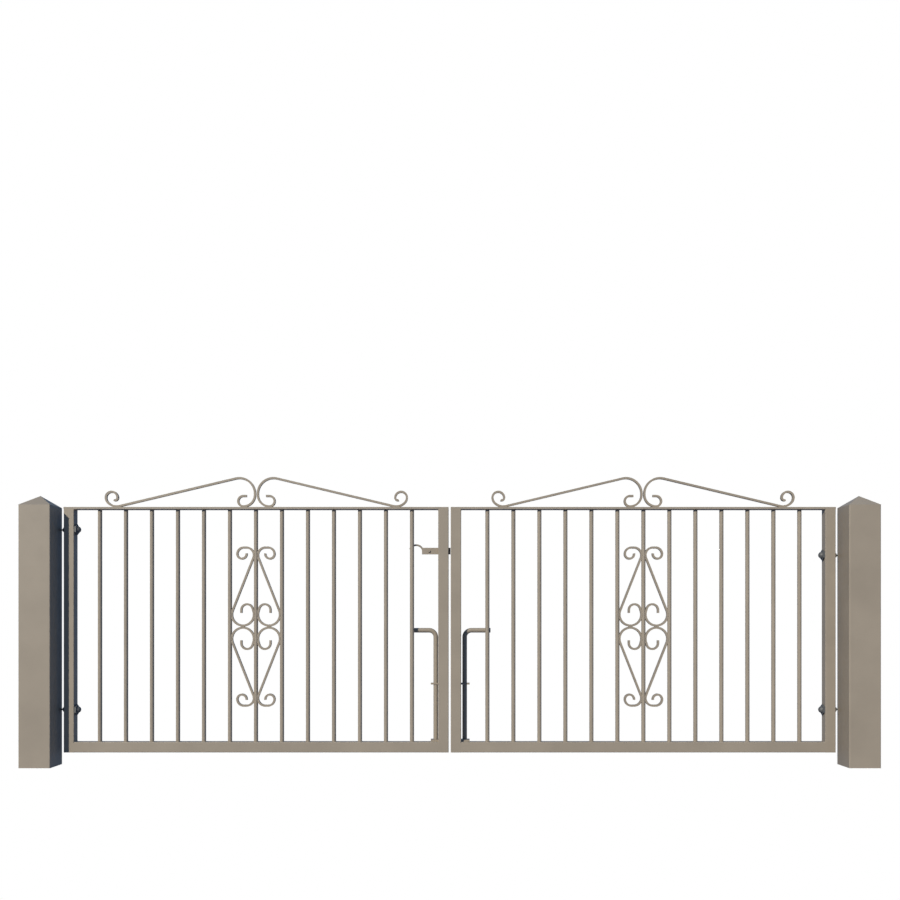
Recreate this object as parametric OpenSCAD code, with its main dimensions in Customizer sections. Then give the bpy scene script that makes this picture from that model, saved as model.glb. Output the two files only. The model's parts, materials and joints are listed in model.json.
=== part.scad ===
// Double-leaf metal driveway gate between two square posts, in millimetres.
// The origin is the centre of the left post's foot, +X runs to the right post,
// +Y runs into the drive and +Z is up.

/* [Opening] */
// Clear width between the two posts
opening_w = 3000; // [2700:10:3400]
// Gap between each post and its leaf
hinge_gap = 22; // [20:1:30]
// Gap between the two leaves
centre_gap = 8; // [6:1:14]
// Height of the leaves above the ground
ground_gap = 50; // [30:5:80]
// How far the middle of the leaves lies behind the middle of the posts
leaf_setback = 34; // [30:1:38]

/* [Posts] */
// Width of a post's square tube
post_w = 120; // [110:1:150]
// Height of a post below its cap
post_h = 990; // [950:5:1200]
// Wall of a post's tube, and of the plate that closes its foot
post_wall = 5; // [3:0.5:8]
// Radius of the corners of a post's tube
post_corner_r = 4; // [2:0.5:6]
// Rise of the pyramid cap
cap_rise = 40; // [25:1:60]
// Depth of the cap's steel, measured upright
cap_sheet = 5; // [3:0.5:8]

/* [Leaf frame] */
// Height of a leaf's frame
frame_h = 940; // [900:5:1100]
// Width of the square tube of the stiles and the bottom rail
tube_w = 40; // [36:1:50]
// Wall of that tube
tube_wall = 3; // [2:0.5:4]
// Radius of the corners of that tube
tube_corner_r = 3; // [1:0.5:3]
// Thickness of the flat bar along the top
top_rail_t = 8; // [6:1:12]

/* [Bars] */
// Diameter of the upright bars
bar_d = 16; // [12:1:20]
// Distance from bar to bar
bar_pitch = 100; // [90:1:110]
// Least distance from a stile to the axis of the nearest bar
bar_margin = 50; // [30:1:60]
// How far the row of bars is set towards the hinges
bar_shift = 4; // [0:1:10]

/* [Scrolls] */
// Thickness of the scrolls' bar
scroll_t = 8; // [6:0.5:9]
// Depth of that bar, from front to back
scroll_depth = 12; // [8:0.5:14]
// Weld gap where a scroll meets its neighbour
seat_gap = 0.2; // [0.1:0.05:0.3]
// Distance from the middle of the crest to the middle of a scroll's upright turn
crest_near = 5.5; // [5:0.5:8]
// How far the crest is set towards the hinges
crest_shift = 2; // [0:0.5:6]
// Reach of a crest scroll from the middle of the crest
crest_reach = 582.5; // [500:0.5:600]
// Height of the crest scrolls above the top rail
crest_h = 117; // [112:0.5:140]
// Radius of the crest's high shoulder
crest_shoulder_r = 60; // [50:1:64]
// Radius of the crest's inner hook
crest_hook_r = 20; // [16:1:22]
// Distance from the middle of the crest to the middle of that hook
crest_hook_u = 49.9; // [46:0.1:52]
// Straight end of that hook
crest_hook_tail = 13; // [6:1:16]
// Radius of the curl at the crest's low end
crest_curl_r = 29; // [26:1:31]
// Length of a panel scroll, from the middle of the panel to its ring
panel_scroll_h = 308; // [280:1:360]
// How far the middle of the panel scrolls lies below the middle of the bars
panel_drop = 4; // [0:1:20]
// Distance from the bars to the middle of a panel scroll's sides
panel_near = 7.7; // [7:0.1:9]
// Radius of the hook inside a panel scroll's large turn
panel_hook_r = 22; // [18:1:23]
// Distance from the middle bar to the middle of that hook
panel_hook_u = 34; // [32:0.5:36]
// Height of that hook above the middle of the panel
panel_hook_h = 90; // [88:1:100]
// Straight end of that hook
panel_hook_tail = 11.5; // [6:0.5:16]
// Radius of a panel scroll's ring, where it turns away from the middle bar
panel_ring_r = 29; // [26:0.5:30]
// Distance from the middle bar to the far side of that ring
panel_ring_reach = 71.4; // [66:0.1:74]

/* [Hinges] */
// Height of both lower hinges above the foot of the leaf
hinge_low_rise = 163; // [130:1:210]
// Distance from the top of the left leaf down to its upper hinge
hinge_left_drop = 85; // [80:1:110]
// Distance from the top of the right leaf down to its upper hinge
hinge_right_drop = 183; // [130:1:290]
// Diameter of a hinge pin
hinge_pin_d = 8; // [6:0.5:9]
// Running clearance round a pin or a rod, on the radius
fit = 0.05; // [0.02:0.01:0.1]
// Play above and below a hinge eye
hinge_play = 0.3; // [0.2:0.05:0.5]
// Diameter of the stud that carries a hinge eye
hinge_stud_d = 6; // [5:0.5:9]
// Outer diameter of a hinge eye
hinge_eye_d = 15; // [13:0.5:15.5]
// Distance from a leaf's middle back to its hinge pins
hinge_back = 16; // [14:0.5:17]
// Height of each of the two lugs of a hinge
hinge_lug_h = 3; // [3:0.5:8]
// Width of a hinge lug at its pin
hinge_lug_w = 11; // [10:0.5:12]
// Thickness of the plate that a hinge's lugs stand on
hinge_plate_t = 2.5; // [2:0.1:2.8]
// Width across the flats of a hinge nut
nut_w = 36; // [28:1:38]
// Thickness of a hinge nut
nut_t = 7; // [6:1:12]
// Diameter of the rounded bolt end in a hinge nut
nut_end_d = 26; // [20:1:28]

/* [Drop bolts] */
// Diameter of a drop bolt's rod
rod_d = 18; // [16:1:19]
// Height of a drop bolt's handle above the foot of the leaf
handle_rise = 468; // [430:1:510]
// Distance from the rod's axis to the end of its handle
handle_reach = 100; // [80:1:120]
// Radius of the bend between rod and handle
handle_bend_r = 26; // [22:1:32]
// Distance from the left rod's axis to the side of its meeting stile
left_rod_side = 10; // [9.5:0.5:16]
// Distance from the right rod's axis to the side of its meeting stile
right_rod_side = 14; // [9.5:0.5:16]
// Distance from the rod's axis to the back of the meeting stile
rod_back = 11; // [10.5:0.5:16]
// Height of the rod's foot above the foot of the leaf
rod_foot = 10; // [4:1:30]
// Thickness of a guide plate
guide_t = 6; // [4:0.5:10]
// Steel left round the rod in a guide plate
guide_rim = 10; // [6:1:14]
// Height of the upper guide above the foot of the leaf
guide_rise = 258; // [230:1:330]

/* [Latch] */
// Height of the latch's flat bar
latch_h = 25; // [18:1:30]
// Thickness of the latch's flat bar
latch_t = 8; // [7.5:0.5:8.5]
// Length of the latch's flat bar
latch_len = 110; // [100:1:120]
// Distance from the top of the leaf down to the latch's lower edge
latch_drop = 179; // [150:1:230]
// Distance from a leaf's middle back to the middle of the latch
latch_back = 12.6; // [12.4:0.1:12.6]
// Clearance round the latch in its slots
latch_fit = 0.3; // [0.2:0.05:0.3]
// Distance from the latch's tip to the other leaf, as it rests
latch_rest_gap = 0.9; // [0.8:0.1:3]
// Diameter of the stop pin on the latch
stop_d = 10; // [6:0.5:11]
// Height of the stop pin
stop_h = 5; // [3:0.5:7]
// Distance from the latch's end to the middle of the stop pin
stop_in = 27.5; // [20:0.5:28]
// Radius of the latch's round finger pull
pull_r = 26; // [22:1:30]
// Diameter of the finger pull's rod
pull_d = 7; // [5:0.5:7]
// Turn of the finger pull, from the latch to its tip
pull_turn = 158; // [120:1:170]
// Height of the finger pull's middle above the latch's lower edge
pull_rise = 9.5; // [6:0.5:12]

/* [Hidden] */
$fn = 64;
paint = "#8f867a";
zinc = "#7d7c7a";
eps = 1;
leaf_w = (opening_w - 2 * hinge_gap - centre_gap) / 2;
leaf_top = ground_gap + frame_h;
hinge_low_z = ground_gap + hinge_low_rise;
hinge_left_z = leaf_top - hinge_left_drop;
hinge_right_z = leaf_top - hinge_right_drop;
handle_z = ground_gap + handle_rise;
guide_z = ground_gap + guide_rise;
latch_z = leaf_top - latch_drop;
rail_low = leaf_top - top_rail_t;
sill_top = ground_gap + tube_w;
panel_z = (sill_top + rail_low) / 2 - panel_drop;
half_tube = tube_w / 2;
inner_w = tube_w - 2 * tube_wall;
meet_in = leaf_w - tube_w;
bar_half = floor((leaf_w / 2 - tube_w - bar_margin) / bar_pitch);
bar_mid = leaf_w / 2 - bar_shift;
hinge_axis = -hinge_gap / 2;
hinge_eye_h = hinge_stud_d;
hinge_pin_end = 1;
hinge_h = hinge_eye_h + 2 * hinge_play + 2 * hinge_lug_h;
rod_y = half_tube + rod_back;
latch_tip = leaf_w + centre_gap - latch_rest_gap;
latch_end = latch_tip - latch_len;
pull_sink = pull_d / 2 + 0.5;
arc_step = 6;

// A scroll's centre line is a straight end [point, heading] and a list of arcs
// [centre, radius, first angle, last angle]. Each arc starts in the direction in which
// the one before it ends, so the straight stretches between arcs need no entry of their own.
function arc_turn(a) = a[3] > a[2] ? 1 : -1;
function arc_steps(a) = max(1, ceil(abs(a[3] - a[2]) / arc_step));
function arc_edge(a, side) =
    let (r = a[1] - side * arc_turn(a) * scroll_t / 2, n = arc_steps(a))
    [for (i = [0:n]) let (t = a[2] + (a[3] - a[2]) * i / n) a[0] + r * [cos(t), sin(t)]];
function end_edge(end, side) =
    [end[0] + side * scroll_t / 2 * [-sin(end[1]), cos(end[1])]];
function path_edge(end, arcs, side) =
    concat(end_edge(end, side), [for (a = arcs) each arc_edge(a, side)]);
function reversed(list) = [for (i = [len(list) - 1:-1:0]) list[i]];
// Heading of the straight line between two turns, given as signed radii:
// above zero where a turn runs anticlockwise, and below where it runs clockwise.
function line_heading(from, from_r, to, to_r) =
    let (d = to - from)
    atan2(d[1], d[0]) - asin((to_r - from_r) / norm(d));

// Crest scroll, measured from the middle of the crest and from the top of the rail.
seat = scroll_t / 2 + seat_gap;
crest_hook_c = [crest_hook_u, seat + crest_hook_r];
crest_belly_r = crest_hook_u - crest_near;
crest_belly_c = [crest_hook_u, seat + crest_belly_r];
crest_shoulder_c = [crest_near + crest_shoulder_r, crest_h - scroll_t / 2 - crest_shoulder_r];
crest_sole_r = crest_curl_r * 1.6;
crest_sole_turn = -45;
crest_step = (crest_sole_r - crest_curl_r) * cos(crest_sole_turn);
crest_curl_c = [crest_reach - scroll_t / 2 - crest_curl_r, seat + crest_sole_r - crest_step];
crest_sole_c = crest_curl_c + [-crest_step, crest_step];
crest_crown_r = crest_curl_r * 0.76;
crest_crown_c = crest_curl_c + [crest_curl_r - crest_crown_r, 0];
crest_inner_r = crest_curl_r * 0.79;
crest_inner_c = crest_crown_c + [0, crest_crown_r - crest_inner_r];
crest_tip_r = crest_curl_r * 0.34;
crest_tip_c = crest_inner_c - [crest_inner_r - crest_tip_r, 0];
crest_tip_turn = 295;
crest_heading = line_heading(crest_shoulder_c, -crest_shoulder_r, crest_sole_c, crest_sole_r);
crest_end = [crest_hook_c + [-crest_hook_tail, crest_hook_r], 0];
crest_arcs = [
    [crest_hook_c, crest_hook_r, 90, -90],
    [crest_belly_c, crest_belly_r, -90, -180],
    [crest_shoulder_c, crest_shoulder_r, 180, crest_heading + 90],
    [crest_sole_c, crest_sole_r, crest_heading - 90, crest_sole_turn],
    [crest_curl_c, crest_curl_r, crest_sole_turn, 0],
    [crest_crown_c, crest_crown_r, 0, 90],
    [crest_inner_c, crest_inner_r, 90, 180],
    [crest_tip_c, crest_tip_r, 180, crest_tip_turn]
];

// Panel scroll, measured from the axis of the middle bar and from the middle of the panel.
panel_turn_r = bar_pitch / 2 - panel_near;
panel_turn_c = [bar_pitch / 2, seat + panel_turn_r];
panel_hook_c = [panel_hook_u, panel_hook_h - scroll_t / 2 - panel_hook_r];
panel_ring_top = panel_scroll_h - scroll_t / 2;
panel_ring_c = [panel_near + panel_ring_r, panel_ring_top - panel_ring_r];
panel_crown_r = panel_ring_r * 0.86;
panel_crown_c = [panel_ring_reach - panel_crown_r, panel_ring_top - panel_crown_r];
panel_tip_r = panel_ring_r * 0.61;
panel_tip_c = panel_crown_c + [panel_crown_r - panel_tip_r, 0];
panel_tip_turn = -188;
panel_lean = line_heading(panel_hook_c, panel_hook_r, panel_turn_c, panel_turn_r);
panel_heading = line_heading(panel_turn_c, panel_turn_r, panel_ring_c, -panel_ring_r);
panel_end = [panel_hook_c + [panel_hook_r, -panel_hook_tail], 90];
panel_arcs = [
    [panel_hook_c, panel_hook_r, 0, panel_lean + 270],
    [panel_turn_c, panel_turn_r, panel_lean + 270, panel_heading + 270],
    [panel_ring_c, panel_ring_r, panel_heading + 90, 90],
    [panel_crown_c, panel_crown_r, 90, 0],
    [panel_tip_c, panel_tip_r, 0, panel_tip_turn]
];

// Places its children on the left leaf, whose u axis runs from the hinge edge to the meeting edge.
module on_left_leaf() {
    translate([post_w / 2 + hinge_gap, leaf_setback, 0])
        children();
}

// Places its children on the right leaf, as the mirror image of the left one.
module on_right_leaf() {
    translate([post_w / 2 + opening_w - hinge_gap, leaf_setback, 0])
        mirror([1, 0, 0])
            children();
}

module rounded_square(width, corner) {
    square([width, width - 2 * corner], center = true);
    square([width - 2 * corner, width], center = true);
    for (x = [-1, 1], y = [-1, 1])
        translate([x, y] * (width / 2 - corner))
            circle(r = corner);
}

// Square tube, closed at its foot by a plate and open at its top.
module standing_tube(width, corner, wall, height) {
    difference() {
        linear_extrude(height)
            rounded_square(width, corner);
        translate([-width / 2 + wall, -width / 2 + wall, wall])
            cube([width - 2 * wall, width - 2 * wall, height]);
    }
}

module pyramid(width, rise) {
    h = width / 2;
    polyhedron(
        points = [[-h, -h, 0], [h, -h, 0], [h, h, 0], [-h, h, 0], [0, 0, rise]],
        faces = [[0, 1, 2, 3], [1, 0, 4], [2, 1, 4], [3, 2, 4], [0, 3, 4]]);
}

module post_cap() {
    color(paint)
        translate([0, 0, post_h])
            difference() {
                pyramid(post_w, cap_rise);
                translate([0, 0, -cap_sheet])
                    pyramid(post_w, cap_rise);
            }
}

module post() {
    color(paint)
        standing_tube(post_w, post_corner_r, post_wall, post_h);
}

// Eye on a stud that stands out from the post, below and above which the leaf's lugs turn.
module hinge_eye(z) {
    translate([hinge_axis, hinge_back, z])
        difference() {
            union() {
                cylinder(h = hinge_eye_h, d = hinge_eye_d, center = true);
                translate([-hinge_gap / 2, 0, 0])
                    rotate([0, 90, 0])
                        cylinder(h = hinge_gap / 2, d = hinge_stud_d - 0.2);
            }
            cylinder(h = hinge_eye_h + 2 * eps, r = hinge_pin_d / 2 + fit, center = true);
        }
}

module hinge_eyes(upper_z) {
    color(zinc) {
        hinge_eye(hinge_low_z);
        hinge_eye(upper_z);
    }
}

// Plate on the outside of the hinge stile with two lugs and the pin between them.
module leaf_hinge(z) {
    lug_reach = -hinge_axis - hinge_plate_t / 2;
    color(zinc)
        translate([0, 0, z]) {
            translate([-hinge_plate_t, -half_tube + tube_wall, -hinge_h / 2])
                cube([hinge_plate_t, tube_w - 2 * tube_wall + hinge_lug_w / 2 - eps, hinge_h]);
            for (side = [-1, 1])
                translate([hinge_axis, hinge_back, side * (hinge_h - hinge_lug_h) / 2]) {
                    cylinder(h = hinge_lug_h, d = hinge_lug_w, center = true);
                    translate([0, -hinge_lug_w / 2, -hinge_lug_h / 2])
                        cube([lug_reach, hinge_lug_w, hinge_lug_h]);
                }
            translate([hinge_axis, hinge_back, 0])
                cylinder(h = hinge_h + 2 * hinge_pin_end, d = hinge_pin_d, center = true);
        }
}

// Nut on the inner face of the hinge stile, with the bolt's rounded end.
module hinge_nut(z) {
    translate([tube_w, 0, z])
        rotate([0, 90, 0]) {
            cylinder(h = nut_t, d = nut_w / cos(30), $fn = 6);
            translate([0, 0, nut_t])
                intersection() {
                    sphere(d = nut_end_d);
                    cylinder(h = nut_end_d, d = nut_end_d + eps);
                }
        }
}

module hinge_nuts(upper_z) {
    color(zinc) {
        hinge_nut(hinge_low_z);
        hinge_nut(upper_z);
    }
}

module stile_tube(u) {
    translate([u + half_tube, 0, ground_gap])
        standing_tube(tube_w, tube_corner_r, tube_wall, rail_low - ground_gap);
}

module hinge_stile() {
    color(paint)
        stile_tube(0);
}

// Slot for the latch, from first to last along the leaf.
module latch_slot(first, last) {
    translate([first, latch_back - latch_t / 2 - latch_fit, latch_z - latch_fit])
        cube([last - first, latch_t + 2 * latch_fit, latch_h + 2 * latch_fit]);
}

// Meeting stile that the latch slides through.
module latch_stile() {
    color(paint)
        difference() {
            stile_tube(meet_in);
            latch_slot(meet_in - eps, leaf_w + eps);
        }
}

// Meeting stile that the latch's tip enters.
module keep_stile() {
    color(paint)
        difference() {
            stile_tube(meet_in);
            latch_slot(leaf_w - half_tube, leaf_w + eps);
        }
}

module top_rail() {
    color(paint)
        translate([0, -half_tube, rail_low])
            cube([leaf_w, tube_w, top_rail_t]);
}

module bottom_rail() {
    color(paint)
        translate([tube_w, 0, ground_gap + half_tube])
            difference() {
                rotate([90, 0, 90])
                    linear_extrude(leaf_w - 2 * tube_w)
                        rounded_square(tube_w, tube_corner_r);
                translate([-eps, -inner_w / 2, -inner_w / 2])
                    cube([leaf_w - 2 * tube_w + 2 * eps, inner_w, inner_w]);
            }
}

module bars() {
    color(paint)
        for (i = [-bar_half:bar_half])
            translate([bar_mid + i * bar_pitch, 0, sill_top])
                cylinder(h = rail_low - sill_top, d = bar_d);
}

// Flat bar bent along a scroll's centre line, in the plane of the leaf.
module bent_bar(end, arcs) {
    rotate([90, 0, 0])
        translate([0, 0, -scroll_depth / 2])
            linear_extrude(scroll_depth)
                polygon(concat(path_edge(end, arcs, 1), reversed(path_edge(end, arcs, -1))));
}

// side is -1 towards the hinges and 1 towards the meeting stile.
module crest_scroll(side) {
    color(paint)
        translate([leaf_w / 2 - crest_shift, 0, leaf_top])
            scale([side, 1, 1])
                bent_bar(crest_end, crest_arcs);
}

// up is 1 above the middle of the panel and -1 below it. The scroll is coped round both bars beside it.
module panel_scroll(side, up) {
    color(paint)
        translate([bar_mid, 0, panel_z])
            scale([side, 1, up])
                difference() {
                    bent_bar(panel_end, panel_arcs);
                    for (u = [0, bar_pitch])
                        translate([u, 0, 0])
                            cylinder(h = panel_scroll_h, r = bar_d / 2 + seat_gap);
                }
}

// Plate with the rod's hole, which reaches forward from the rod to the given depth.
module guide_plate(rod_u, front, near, z) {
    translate([0, 0, z])
        difference() {
            translate([rod_u - rod_d / 2 - guide_rim, front, 0])
                cube([near - rod_u + rod_d / 2 + guide_rim, rod_y + rod_d / 2 + guide_rim - front, guide_t]);
            translate([rod_u, rod_y, -eps])
                cylinder(h = guide_t + 2 * eps, r = rod_d / 2 + fit);
        }
}

// The upper guide is welded to the back of the meeting stile, and the lower one to the bottom rail.
module bolt_guides(rod_side) {
    color(paint) {
        guide_plate(meet_in - rod_side, half_tube, meet_in + half_tube, guide_z);
        guide_plate(meet_in - rod_side, 0, meet_in, sill_top);
    }
}

// Rod behind the leaf that drops into the ground, with its handle bent towards the bars.
module drop_bolt(rod_side) {
    foot = ground_gap + rod_foot;
    color(paint)
        translate([meet_in - rod_side, rod_y, 0]) {
            translate([0, 0, foot])
                cylinder(h = handle_z - handle_bend_r - foot, d = rod_d);
            translate([-handle_bend_r, 0, handle_z - handle_bend_r])
                rotate([90, 0, 0])
                    rotate_extrude(angle = 90)
                        translate([handle_bend_r, 0])
                            circle(d = rod_d);
            translate([-handle_reach, 0, handle_z])
                rotate([0, 90, 0])
                    cylinder(h = handle_reach - handle_bend_r, d = rod_d);
        }
}

// Flat bar that slides along the leaf, with a stop pin, and a bent rod at its end for the finger.
module latch_bolt() {
    color(paint)
        translate([0, latch_back, latch_z]) {
            translate([latch_end, -latch_t / 2, 0])
                cube([latch_len, latch_t, latch_h]);
            translate([latch_end + stop_in, -latch_t / 2 - stop_h, latch_h / 2])
                rotate([-90, 0, 0])
                    cylinder(h = stop_h + eps, d = stop_d);
            translate([latch_end + pull_sink - pull_r, 0, pull_rise])
                rotate([90, 0, 0]) {
                    rotate_extrude(angle = pull_turn)
                        translate([pull_r, 0])
                            circle(d = pull_d);
                    rotate([0, 0, pull_turn])
                        translate([pull_r, 0, 0])
                            sphere(d = pull_d);
                }
        }
}

module right_post_place() {
    translate([opening_w + post_w, 0, 0])
        children();
}

post();  // left_post
right_post_place() post();  // right_post
post_cap();  // left_post_cap
right_post_place() post_cap();  // right_post_cap
on_left_leaf() hinge_eyes(hinge_left_z);  // left_hinge_eyes
on_right_leaf() hinge_eyes(hinge_right_z);  // right_hinge_eyes
on_left_leaf() hinge_stile();  // left_hinge_stile
on_left_leaf() latch_stile();  // left_meeting_stile
on_left_leaf() top_rail();  // left_top_rail
on_left_leaf() bottom_rail();  // left_bottom_rail
on_left_leaf() bars();  // left_bars
on_left_leaf() crest_scroll(-1);  // left_crest_scroll_hinge_side
on_left_leaf() crest_scroll(1);  // left_crest_scroll_meeting_side
on_left_leaf() panel_scroll(-1, 1);  // left_upper_scroll_hinge_side
on_left_leaf() panel_scroll(1, 1);  // left_upper_scroll_meeting_side
on_left_leaf() panel_scroll(-1, -1);  // left_lower_scroll_hinge_side
on_left_leaf() panel_scroll(1, -1);  // left_lower_scroll_meeting_side
on_left_leaf() leaf_hinge(hinge_left_z);  // left_upper_hinge
on_left_leaf() leaf_hinge(hinge_low_z);  // left_lower_hinge
on_left_leaf() hinge_nuts(hinge_left_z);  // left_hinge_nuts
on_left_leaf() bolt_guides(left_rod_side);  // left_bolt_guides
on_right_leaf() hinge_stile();  // right_hinge_stile
on_right_leaf() keep_stile();  // right_meeting_stile
on_right_leaf() top_rail();  // right_top_rail
on_right_leaf() bottom_rail();  // right_bottom_rail
on_right_leaf() bars();  // right_bars
on_right_leaf() crest_scroll(-1);  // right_crest_scroll_hinge_side
on_right_leaf() crest_scroll(1);  // right_crest_scroll_meeting_side
on_right_leaf() panel_scroll(-1, 1);  // right_upper_scroll_hinge_side
on_right_leaf() panel_scroll(1, 1);  // right_upper_scroll_meeting_side
on_right_leaf() panel_scroll(-1, -1);  // right_lower_scroll_hinge_side
on_right_leaf() panel_scroll(1, -1);  // right_lower_scroll_meeting_side
on_right_leaf() leaf_hinge(hinge_right_z);  // right_upper_hinge
on_right_leaf() leaf_hinge(hinge_low_z);  // right_lower_hinge
on_right_leaf() hinge_nuts(hinge_right_z);  // right_hinge_nuts
on_right_leaf() bolt_guides(right_rod_side);  // right_bolt_guides
on_left_leaf() drop_bolt(left_rod_side);  // left_drop_bolt
on_right_leaf() drop_bolt(right_rod_side);  // right_drop_bolt
on_left_leaf() latch_bolt();
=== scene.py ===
"""Looks of the metal driveway gate: paint, zinc, weld beads, light and camera, in metres."""
import json
import math

import bmesh
import bpy
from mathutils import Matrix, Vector


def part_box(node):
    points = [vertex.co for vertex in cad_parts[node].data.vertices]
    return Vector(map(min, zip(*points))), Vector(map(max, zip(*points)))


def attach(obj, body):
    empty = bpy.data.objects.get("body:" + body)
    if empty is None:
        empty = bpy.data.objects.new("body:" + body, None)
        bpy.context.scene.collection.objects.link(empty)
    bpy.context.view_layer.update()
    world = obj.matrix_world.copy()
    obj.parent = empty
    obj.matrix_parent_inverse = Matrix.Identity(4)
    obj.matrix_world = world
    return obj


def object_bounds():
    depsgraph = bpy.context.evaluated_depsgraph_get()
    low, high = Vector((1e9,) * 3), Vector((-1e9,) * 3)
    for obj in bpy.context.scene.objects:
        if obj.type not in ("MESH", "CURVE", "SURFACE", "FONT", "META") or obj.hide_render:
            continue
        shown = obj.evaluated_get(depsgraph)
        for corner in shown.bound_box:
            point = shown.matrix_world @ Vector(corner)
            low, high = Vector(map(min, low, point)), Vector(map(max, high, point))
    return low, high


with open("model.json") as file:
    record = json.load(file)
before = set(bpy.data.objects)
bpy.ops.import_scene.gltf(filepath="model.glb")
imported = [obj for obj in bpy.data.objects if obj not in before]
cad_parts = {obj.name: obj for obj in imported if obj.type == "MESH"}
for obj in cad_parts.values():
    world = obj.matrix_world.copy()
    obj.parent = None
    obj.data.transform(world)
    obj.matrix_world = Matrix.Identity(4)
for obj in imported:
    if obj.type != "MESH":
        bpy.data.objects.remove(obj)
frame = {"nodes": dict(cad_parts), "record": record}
cad_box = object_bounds()
nodes = frame["nodes"]

# Picture that the camera matches, in pixels: side, focal length, where the line of sight meets it
IMAGE_SIZE = 900
FOCAL_PX = 1006
AXIS_PX_X = 449.7
AXIS_PX_Y = 630.0
# Camera: sensor in millimetres, distance to the front of the posts, height above the ground
SENSOR_MM = 36.0
EYE_DISTANCE = 3.776
EYE_HEIGHT = 0.519

# Sun. Angles in degrees: left of straight behind the camera, above the ground, across its disc
SUN_AZIMUTH = 31.0
SUN_ELEVATION = 27.0
SUN_SIZE = 1.5
SUN_STRENGTH = 4.28
SUN_COLOUR = (1.0, 0.97, 0.855)
# Soft light from straight behind the gate, so that the front and the sides keep their shade
FILL_AZIMUTH = 180.0
FILL_ELEVATION = 4.0
FILL_SIZE = 5.0
FILL_STRENGTH = 1.5
FILL_COLOUR = (1.0, 0.98, 0.93)
# Dim light from all round
SKY_STRENGTH = 0.33
SKY_COLOUR = (0.37, 0.73, 1.38)
GROUND_COLOUR = (0.58, 0.70, 1.00)
# Height of a unit direction at which the light from the ground gives way to the sky's
HORIZON = 0.1
# Half the side of the white floor
FLOOR_HALF = 40.0
WHITE = (1.0, 1.0, 1.0)
BLACK = (0.0, 0.0, 0.0)

# Paint: colour, and the ends of its range of tone and of roughness
PAINT_COLOUR = (0.250, 0.205, 0.157)
PAINT_TONES = (0.94, 1.06)
PAINT_ROUGHNESS = (0.46, 0.58)
PAINT_SPECULAR = 0.35
PAINT_BUMP = 0.05
# Noise in the paint, per metre: tone, roughness, orange peel
CLOUD_SCALE = 7.0
SHEEN_SCALE = 60.0
PEEL_SCALE = 420.0
# Zinc plate, in the same terms
ZINC_COLOUR = (0.092, 0.090, 0.088)
ZINC_TONES = (0.82, 1.12)
ZINC_ROUGHNESS = (0.48, 0.64)
ZINC_METALLIC = 0.15
ZINC_BUMP = 0.1
GRAIN_SCALE = 180.0
# Levels of the noise between which tone and roughness change, and the depth of full bumps
NOISE_SPAN = (0.3, 0.7)
BUMP_DEPTH = 0.0004

# Weld beads: spacing and sides of their cross-sections
BEAD_STEP = 0.0025
BEAD_SIDES = 6
# Ripple along a bead: its pitch, and its height as a share of the radius
RIPPLE_PITCH = 0.006
RIPPLE = 0.16
# Radius at the ends of a bead, as a share of the full one
BEAD_END = 0.35
# Radius of the beads, by the size of what they join
BEAD_FRAME = 0.0020
BEAD_BAR = 0.0016
BEAD_SCROLL = 0.0013
BEAD_STUD = 0.0010
# Half the length of the short beads, at the crest, beside the bars and in the panel's middle
CREST_BEAD_HALF = 0.012
PANEL_BEAD_HALF = 0.009
MIDDLE_BEAD_HALF = 0.008
# Corners of the rings that the round beads follow
BAR_POINTS = 20
STUD_POINTS = 12
# Flush fills: steps round the groove, and how far they sink into the stile
FLUSH_STEPS = 6
FLUSH_SINK = 0.00005
# Edges of the beads and fills that turn by more degrees than this stay sharp
SHARP_ANGLE = 75.0

# The rest are sizes of the part that the boxes of its nodes don't give
# Bars of a leaf: how many, and the index of the middle one
BARS = 13
MIDDLE_BAR = 6
# Rounded corners of the frame's tubes, and the gaps that the welds close
TUBE_CORNER = 0.003
SEAT_GAP = 0.0002
# Where a crest scroll meets the rail: from the crest's middle, and from the scroll's far end
CREST_HOOK = 0.0499
CREST_SOLE = 0.0453
# Where a panel scroll meets the bars: below its outer end, and above its inner end
PANEL_RING = 0.033
PANEL_TURN = 0.0465
# From the middle of a bar to the edge of the cope in a panel scroll
COPE = 0.0058
# Thickness of a bolt guide
GUIDE_T = 0.006
# Hinges: the pin's reach beyond the lugs, half the height of an eye, the radius of its stud
HINGE_PIN_END = 0.001
HINGE_EYE_HALF = 0.003
HINGE_STUD_R = 0.0029

X_AXIS = Vector((1, 0, 0))
Y_AXIS = Vector((0, 1, 0))
Z_AXIS = Vector((0, 0, 1))


def new_material(name):
    material = bpy.data.materials.new(name)
    material.use_nodes = True
    return material, material.node_tree, material.node_tree.nodes["Principled BSDF"]


def add_noise(tree, scale, detail):
    """Noise over the surface in object coordinates, so in metres."""
    coords = tree.nodes.new("ShaderNodeTexCoord")
    texture = tree.nodes.new("ShaderNodeTexNoise")
    texture.inputs["Scale"].default_value = scale
    texture.inputs["Detail"].default_value = detail
    tree.links.new(coords.outputs["Object"], texture.inputs["Vector"])
    return texture


def add_ramp(tree, noise, colours, target):
    """Drives an input of a shader from one colour to another, as the noise rises."""
    node = tree.nodes.new("ShaderNodeValToRGB")
    for element, level, colour in zip(node.color_ramp.elements, NOISE_SPAN, colours):
        element.position = level
        element.color = (*colour, 1.0)
    tree.links.new(noise.outputs["Fac"], node.inputs["Fac"])
    tree.links.new(node.outputs["Color"], target)


def add_bump(tree, shader, noise, strength):
    bump = tree.nodes.new("ShaderNodeBump")
    bump.inputs["Strength"].default_value = strength
    bump.inputs["Distance"].default_value = BUMP_DEPTH
    tree.links.new(noise.outputs["Fac"], bump.inputs["Height"])
    tree.links.new(bump.outputs["Normal"], shader.inputs["Normal"])


def shades(colour, factors):
    """The colour times each of the factors."""
    return [tuple(channel * factor for channel in colour) for factor in factors]


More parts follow.
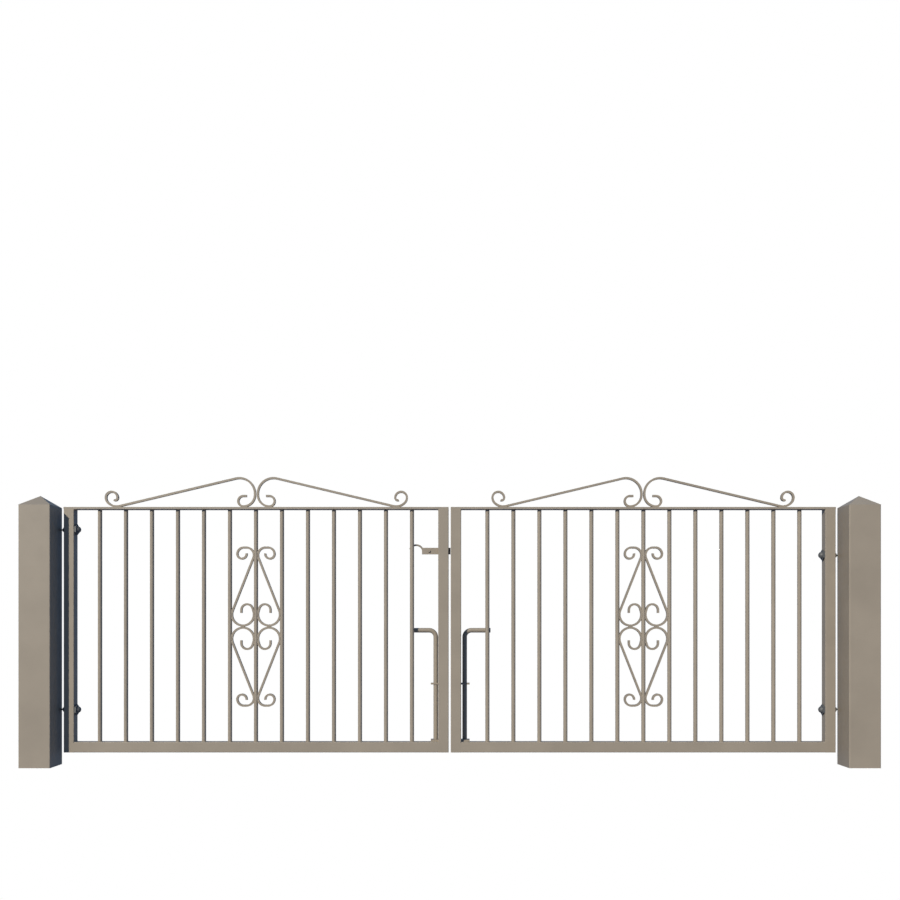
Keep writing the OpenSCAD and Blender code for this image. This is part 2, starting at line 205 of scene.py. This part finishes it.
def make_paint():
    """Satin paint with a fine orange peel and a slight unevenness of tone."""
    material, tree, shader = new_material("gate_paint")
    cloud = add_noise(tree, CLOUD_SCALE, detail=4.0)
    add_ramp(tree, cloud, shades(PAINT_COLOUR, PAINT_TONES), shader.inputs["Base Color"])
    sheen = add_noise(tree, SHEEN_SCALE, detail=3.0)
    add_ramp(tree, sheen, shades(WHITE, PAINT_ROUGHNESS), shader.inputs["Roughness"])
    peel = add_noise(tree, PEEL_SCALE, detail=1.0)
    add_bump(tree, shader, peel, PAINT_BUMP)
    shader.inputs["Specular IOR Level"].default_value = PAINT_SPECULAR
    return material


def make_zinc():
    """Dull zinc plate with cloudy grains."""
    material, tree, shader = new_material("hinge_zinc")
    grain = add_noise(tree, GRAIN_SCALE, detail=3.0)
    add_ramp(tree, grain, shades(ZINC_COLOUR, ZINC_TONES), shader.inputs["Base Color"])
    add_ramp(tree, grain, shades(WHITE, ZINC_ROUGHNESS), shader.inputs["Roughness"])
    add_bump(tree, shader, grain, ZINC_BUMP)
    shader.inputs["Metallic"].default_value = ZINC_METALLIC
    return material


def set_material(obj, material):
    obj.data.materials.clear()
    obj.data.materials.append(material)


def dress_nodes(paint, zinc):
    slots = {row["node"]: row["material_slot"] for row in frame["record"]["subparts"]}
    for name, obj in nodes.items():
        set_material(obj, zinc if slots[name] == "hinge_steel" else paint)


def make_camera(middle_x, front_y):
    """Level camera, shifted so that the uprights stay parallel as in the picture."""
    data = bpy.data.cameras.new("camera")
    data.sensor_width = SENSOR_MM
    data.lens = SENSOR_MM * FOCAL_PX / IMAGE_SIZE
    data.shift_x = (IMAGE_SIZE / 2 - AXIS_PX_X) / IMAGE_SIZE
    data.shift_y = (AXIS_PX_Y - IMAGE_SIZE / 2) / IMAGE_SIZE
    camera = bpy.data.objects.new("camera", data)
    camera.location = (middle_x, front_y - EYE_DISTANCE, EYE_HEIGHT)
    camera.rotation_euler = (math.radians(90), 0, 0)
    bpy.context.scene.collection.objects.link(camera)
    bpy.context.scene.camera = camera


def make_sun(name, azimuth, elevation, strength, colour, size):
    """Distant light at these angles, in degrees, and size degrees wide."""
    data = bpy.data.lights.new(name, "SUN")
    data.energy = strength
    data.color = colour
    data.angle = math.radians(size)
    sun = bpy.data.objects.new(name, data)
    azimuth, elevation = math.radians(azimuth), math.radians(elevation)
    beam = Vector((math.sin(azimuth) * math.cos(elevation),
                   math.cos(azimuth) * math.cos(elevation),
                   -math.sin(elevation)))
    sun.rotation_euler = beam.to_track_quat("-Z", "Y").to_euler()
    bpy.context.scene.collection.objects.link(sun)
    return sun


def make_sky():
    """Light from all round, bluer from above than from the ground, and a white backdrop."""
    world = bpy.data.worlds.new("sky")
    bpy.context.scene.world = world
    world.use_nodes = True
    tree = world.node_tree
    light = tree.nodes["Background"]
    coords = tree.nodes.new("ShaderNodeTexCoord")
    split = tree.nodes.new("ShaderNodeSeparateXYZ")
    height = tree.nodes.new("ShaderNodeMapRange")
    height.inputs["From Min"].default_value = -HORIZON
    height.inputs["From Max"].default_value = HORIZON
    tint = tree.nodes.new("ShaderNodeValToRGB")
    tint.color_ramp.elements[0].color = (*GROUND_COLOUR, 1.0)
    tint.color_ramp.elements[1].color = (*SKY_COLOUR, 1.0)
    tree.links.new(coords.outputs["Generated"], split.inputs["Vector"])
    tree.links.new(split.outputs["Z"], height.inputs["Value"])
    tree.links.new(height.outputs["Result"], tint.inputs["Fac"])
    tree.links.new(tint.outputs["Color"], light.inputs["Color"])
    light.inputs["Strength"].default_value = SKY_STRENGTH
    backdrop = tree.nodes.new("ShaderNodeBackground")
    backdrop.inputs["Color"].default_value = (*WHITE, 1.0)
    path = tree.nodes.new("ShaderNodeLightPath")
    mix = tree.nodes.new("ShaderNodeMixShader")
    tree.links.new(path.outputs["Is Camera Ray"], mix.inputs["Fac"])
    tree.links.new(light.outputs["Background"], mix.inputs[1])
    tree.links.new(backdrop.outputs["Background"], mix.inputs[2])
    tree.links.new(mix.outputs["Shader"], tree.nodes["World Output"].inputs["Surface"])


def make_floor(middle_x):
    """Evenly white floor. Any brighter, and the edges in front of it would look eaten away."""
    mesh = bpy.data.meshes.new("floor")
    signs = ((-1, -1), (1, -1), (1, 1), (-1, 1))
    corners = [(middle_x + sx * FLOOR_HALF, sy * FLOOR_HALF, 0) for sx, sy in signs]
    mesh.from_pydata(corners, [], [(0, 1, 2, 3)])
    floor = bpy.data.objects.new("floor", mesh)
    bpy.context.scene.collection.objects.link(floor)
    material, _, shader = new_material("floor")
    shader.inputs["Base Color"].default_value = (*BLACK, 1.0)
    shader.inputs["Roughness"].default_value = 1.0
    shader.inputs["Specular IOR Level"].default_value = 0.0
    shader.inputs["Emission Color"].default_value = (*WHITE, 1.0)
    shader.inputs["Emission Strength"].default_value = 1.0
    set_material(floor, material)
    floor.visible_diffuse = False
    floor.visible_glossy = False


def resample(points, closed):
    """Points about one bead step apart along a path, each with the length run so far."""
    ends = points + points[:1] if closed else points
    stations, run = [], 0.0
    for start, stop in zip(ends, ends[1:]):
        length = (stop - start).length
        steps = max(1, round(length / BEAD_STEP))
        for i in range(steps):
            stations.append((start.lerp(stop, i / steps), run + length * i / steps))
        run += length
    if not closed:
        stations.append((ends[-1], run))
    return stations


def add_bead(welds, points, normal, radius, closed=False):
    """Adds a rippled round bead along a path in the plane with this normal."""
    verts, faces = welds
    stations = resample(points, closed)
    count, first = len(stations), len(verts)
    for i, (centre, run) in enumerate(stations):
        before = stations[i - 1 if closed else max(i - 1, 0)][0]
        after = stations[(i + 1) % count if closed else min(i + 1, count - 1)][0]
        across = (after - before).normalized().cross(normal)
        size = radius * (1 + RIPPLE * math.sin(2 * math.pi * run / RIPPLE_PITCH))
        if not closed and i in (0, count - 1):
            size *= BEAD_END
        for k in range(BEAD_SIDES):
            angle = 2 * math.pi * k / BEAD_SIDES
            verts.append(centre + size * (math.cos(angle) * normal + math.sin(angle) * across))
    for i in range(count if closed else count - 1):
        here, there = first + i * BEAD_SIDES, first + (i + 1) % count * BEAD_SIDES
        for k in range(BEAD_SIDES):
            n = (k + 1) % BEAD_SIDES
            faces.append((here + k, here + n, there + n, there + k))
    if not closed:
        faces.append(tuple(first + k for k in range(BEAD_SIDES)))
        faces.append(tuple(first + (count - 1) * BEAD_SIDES + k for k in range(BEAD_SIDES)))


def add_flush_fill(welds, edge, outward, low_z, high_z):
    """Adds a weld ground flush, in the groove between a rail's end and a stile's rounded edge."""
    verts, faces = welds
    first, c = len(verts), TUBE_CORNER
    turns = [math.pi / 2 * i / FLUSH_STEPS for i in range(FLUSH_STEPS + 1)]
    reach = c - FLUSH_SINK
    groove = [(SEAT_GAP + c - reach * math.cos(t), c - reach * math.sin(t)) for t in turns]
    section = [(0.0, 0.0), (0.0, c)] + groove
    count = len(section)
    for z in (low_z, high_z):
        verts.extend(Vector((edge.x + outward * x, edge.y + y, z)) for x, y in section)
    for i in range(count):
        n = (i + 1) % count
        faces.append((first + i, first + n, first + count + n, first + count + i))
    faces.append(tuple(range(first, first + count)))
    faces.append(tuple(range(first + count, first + 2 * count)))


def ring(centre, radius, normal, count):
    """Points of a circle whose normal is the X or the Z axis."""
    side = Y_AXIS if normal is X_AXIS else X_AXIS
    other = normal.cross(side)
    turns = [2 * math.pi * i / count for i in range(count)]
    return [centre + radius * (math.cos(t) * side + math.sin(t) * other) for t in turns]


def line(centre, axis, half):
    return [centre - half * axis, centre + half * axis]


def nearest(low, high, target):
    return low if abs(low - target) < abs(high - target) else high


def weld_bars(welds, side):
    """Beads round both ends of each bar. Returns the bars' middles, along X and along Y."""
    low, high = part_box(side + "_bars")
    radius = (high.y - low.y) / 2
    pitch = (high.x - low.x - 2 * radius) / (BARS - 1)
    middle_y = (low.y + high.y) / 2
    bars = [low.x + radius + i * pitch for i in range(BARS)]
    for x in bars:
        for z in (low.z, high.z):
            points = ring(Vector((x, middle_y, z)), radius, Z_AXIS, BAR_POINTS)
            add_bead(welds, points, Z_AXIS, BEAD_BAR, closed=True)
    return bars, middle_y


def weld_frame(welds, side):
    """Beads between rails and stiles, on the back and in the corners, and flush fills in front."""
    low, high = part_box(side + "_bottom_rail")
    c = TUBE_CORNER
    outline = [(low.y + c, high.z), (high.y - c, high.z), (high.y, high.z - c),
               (high.y, low.z + c)]
    for x in (low.x, high.x):
        add_bead(welds, [Vector((x, y, z)) for y, z in outline], X_AXIS, BEAD_FRAME)
        outward = 1 if x == high.x else -1
        add_flush_fill(welds, Vector((x, low.y, 0)), outward, low.z + c, high.z - c)
    middle_x = (low.x + high.x) / 2
    for stile in ("_hinge_stile", "_meeting_stile"):
        foot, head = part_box(side + stile)
        x = nearest(foot.x, head.x, middle_x)
        corner = Vector((x, (foot.y + head.y) / 2, head.z))
        add_bead(welds, line(corner, Y_AXIS, (head.y - foot.y) / 2 - c), X_AXIS, BEAD_FRAME)


def weld_crest(welds, side):
    """Beads before and behind the two places where each crest scroll meets the top rail."""
    boxes = [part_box(side + "_crest_scroll_" + end) for end in ("hinge_side", "meeting_side")]
    middle_x = (min(low.x for low, high in boxes) + max(high.x for low, high in boxes)) / 2
    for low, high in boxes:
        away = 1 if low.x + high.x > 2 * middle_x else -1
        far = high.x if away > 0 else low.x
        for x in (middle_x + away * CREST_HOOK, far - away * CREST_SOLE):
            for y in (low.y, high.y):
                spot = Vector((x, y, low.z - SEAT_GAP))
                add_bead(welds, line(spot, X_AXIS, CREST_BEAD_HALF), Z_AXIS, BEAD_BAR)


def weld_panel(welds, side, bars, middle_y):
    """Beads where the panel scrolls meet the bars and each other."""
    low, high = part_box(side + "_upper_scroll_hinge_side")
    middle_z = low.z - SEAT_GAP
    ring_z, turn_z = high.z - PANEL_RING - middle_z, low.z + PANEL_TURN - middle_z
    depth = (high.y - low.y) / 2
    for y in (middle_y - depth, middle_y + depth):
        for away in (-1, 1):
            near = bars[MIDDLE_BAR] + away * COPE
            far = bars[MIDDLE_BAR + away] - away * COPE
            for up in (-1, 1):
                for x, z in ((near, ring_z), (near, turn_z), (far, turn_z)):
                    spot = Vector((x, y, middle_z + up * z))
                    add_bead(welds, line(spot, Z_AXIS, PANEL_BEAD_HALF), Y_AXIS, BEAD_SCROLL)
            spot = Vector(((bars[MIDDLE_BAR] + bars[MIDDLE_BAR + away]) / 2, y, middle_z))
            add_bead(welds, line(spot, X_AXIS, MIDDLE_BEAD_HALF), Z_AXIS, BEAD_SCROLL)


def weld_guides(welds, side, middle_y):
    """Beads from the upper bolt guide to the meeting stile, and from the lower to the rail."""
    low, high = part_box(side + "_bolt_guides")
    foot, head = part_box(side + "_meeting_stile")
    rail_x = sum(corner.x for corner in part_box(side + "_bottom_rail")) / 2
    inner_x = nearest(foot.x, head.x, rail_x)
    middle_x = (foot.x + head.x) / 2
    for z in (high.z - GUIDE_T, high.z):
        spot = Vector(((inner_x + middle_x) / 2, head.y, z))
        add_bead(welds, line(spot, X_AXIS, abs(inner_x - middle_x) / 2), Z_AXIS, BEAD_BAR)
    rim_x = nearest(low.x, high.x, rail_x)
    spot = Vector(((inner_x + rim_x) / 2, middle_y, low.z))
    add_bead(welds, line(spot, X_AXIS, abs(inner_x - rim_x) / 2), Z_AXIS, BEAD_BAR)


def weld_hinges(welds, side):
    """Beads above and below the hinge plates, on the hinge stile."""
    foot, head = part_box(side + "_hinge_stile")
    middle_y = (foot.y + head.y) / 2
    half = (head.y - foot.y) / 2 - TUBE_CORNER
    for hinge in ("_upper_hinge", "_lower_hinge"):
        low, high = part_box(side + hinge)
        x = nearest(foot.x, head.x, nearest(low.x, high.x, (foot.x + head.x) / 2))
        for z in (low.z + HINGE_PIN_END, high.z - HINGE_PIN_END):
            spot = Vector((x, middle_y, z))
            add_bead(welds, line(spot, Y_AXIS, half), X_AXIS, BEAD_SCROLL)


def weld_studs(welds, side):
    """Beads round the studs of the hinge eyes, on the inner face of a post."""
    low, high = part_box(side + "_hinge_eyes")
    post_low, post_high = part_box(side + "_post")
    x = nearest(post_low.x, post_high.x, (low.x + high.x) / 2)
    for z in (low.z + HINGE_EYE_HALF, high.z - HINGE_EYE_HALF):
        spot = Vector((x, (low.y + high.y) / 2, z))
        points = ring(spot, HINGE_STUD_R, X_AXIS, STUD_POINTS)
        add_bead(welds, points, X_AXIS, BEAD_STUD, closed=True)


def make_welds(name, welds, body, material):
    """Makes one piece of a body's beads and fills, which rides on that body."""
    verts, faces = welds
    mesh = bpy.data.meshes.new(name)
    mesh.from_pydata(verts, [], faces)
    shell = bmesh.new()
    shell.from_mesh(mesh)
    bmesh.ops.recalc_face_normals(shell, faces=shell.faces)
    shell.to_mesh(mesh)
    shell.free()
    for polygon in mesh.polygons:
        polygon.use_smooth = True
    mesh.set_sharp_from_angle(angle=math.radians(SHARP_ANGLE))
    piece = bpy.data.objects.new(name, mesh)
    bpy.context.scene.collection.objects.link(piece)
    set_material(piece, material)
    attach(piece, body)


def weld_all(paint):
    posts = ([], [])
    for side in ("left", "right"):
        leaf = ([], [])
        bars, middle_y = weld_bars(leaf, side)
        weld_frame(leaf, side)
        weld_crest(leaf, side)
        weld_panel(leaf, side, bars, middle_y)
        weld_guides(leaf, side, middle_y)
        weld_hinges(leaf, side)
        weld_studs(posts, side)
        make_welds(side + "_leaf_welds", leaf, side + "_leaf", paint)
    make_welds("post_welds", posts, "posts", paint)


def main():
    low, high = cad_box
    middle_x = (low.x + high.x) / 2
    front_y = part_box("left_post")[0].y
    make_camera(middle_x, front_y)
    make_sun("sun", SUN_AZIMUTH, SUN_ELEVATION, SUN_STRENGTH, SUN_COLOUR, SUN_SIZE)
    fill = make_sun("fill", FILL_AZIMUTH, FILL_ELEVATION, FILL_STRENGTH, FILL_COLOUR, FILL_SIZE)
    fill.visible_glossy = False
    make_sky()
    make_floor(middle_x)
    bpy.context.scene.view_settings.view_transform = "Standard"
    paint = make_paint()
    dress_nodes(paint, make_zinc())
    weld_all(paint)


main()
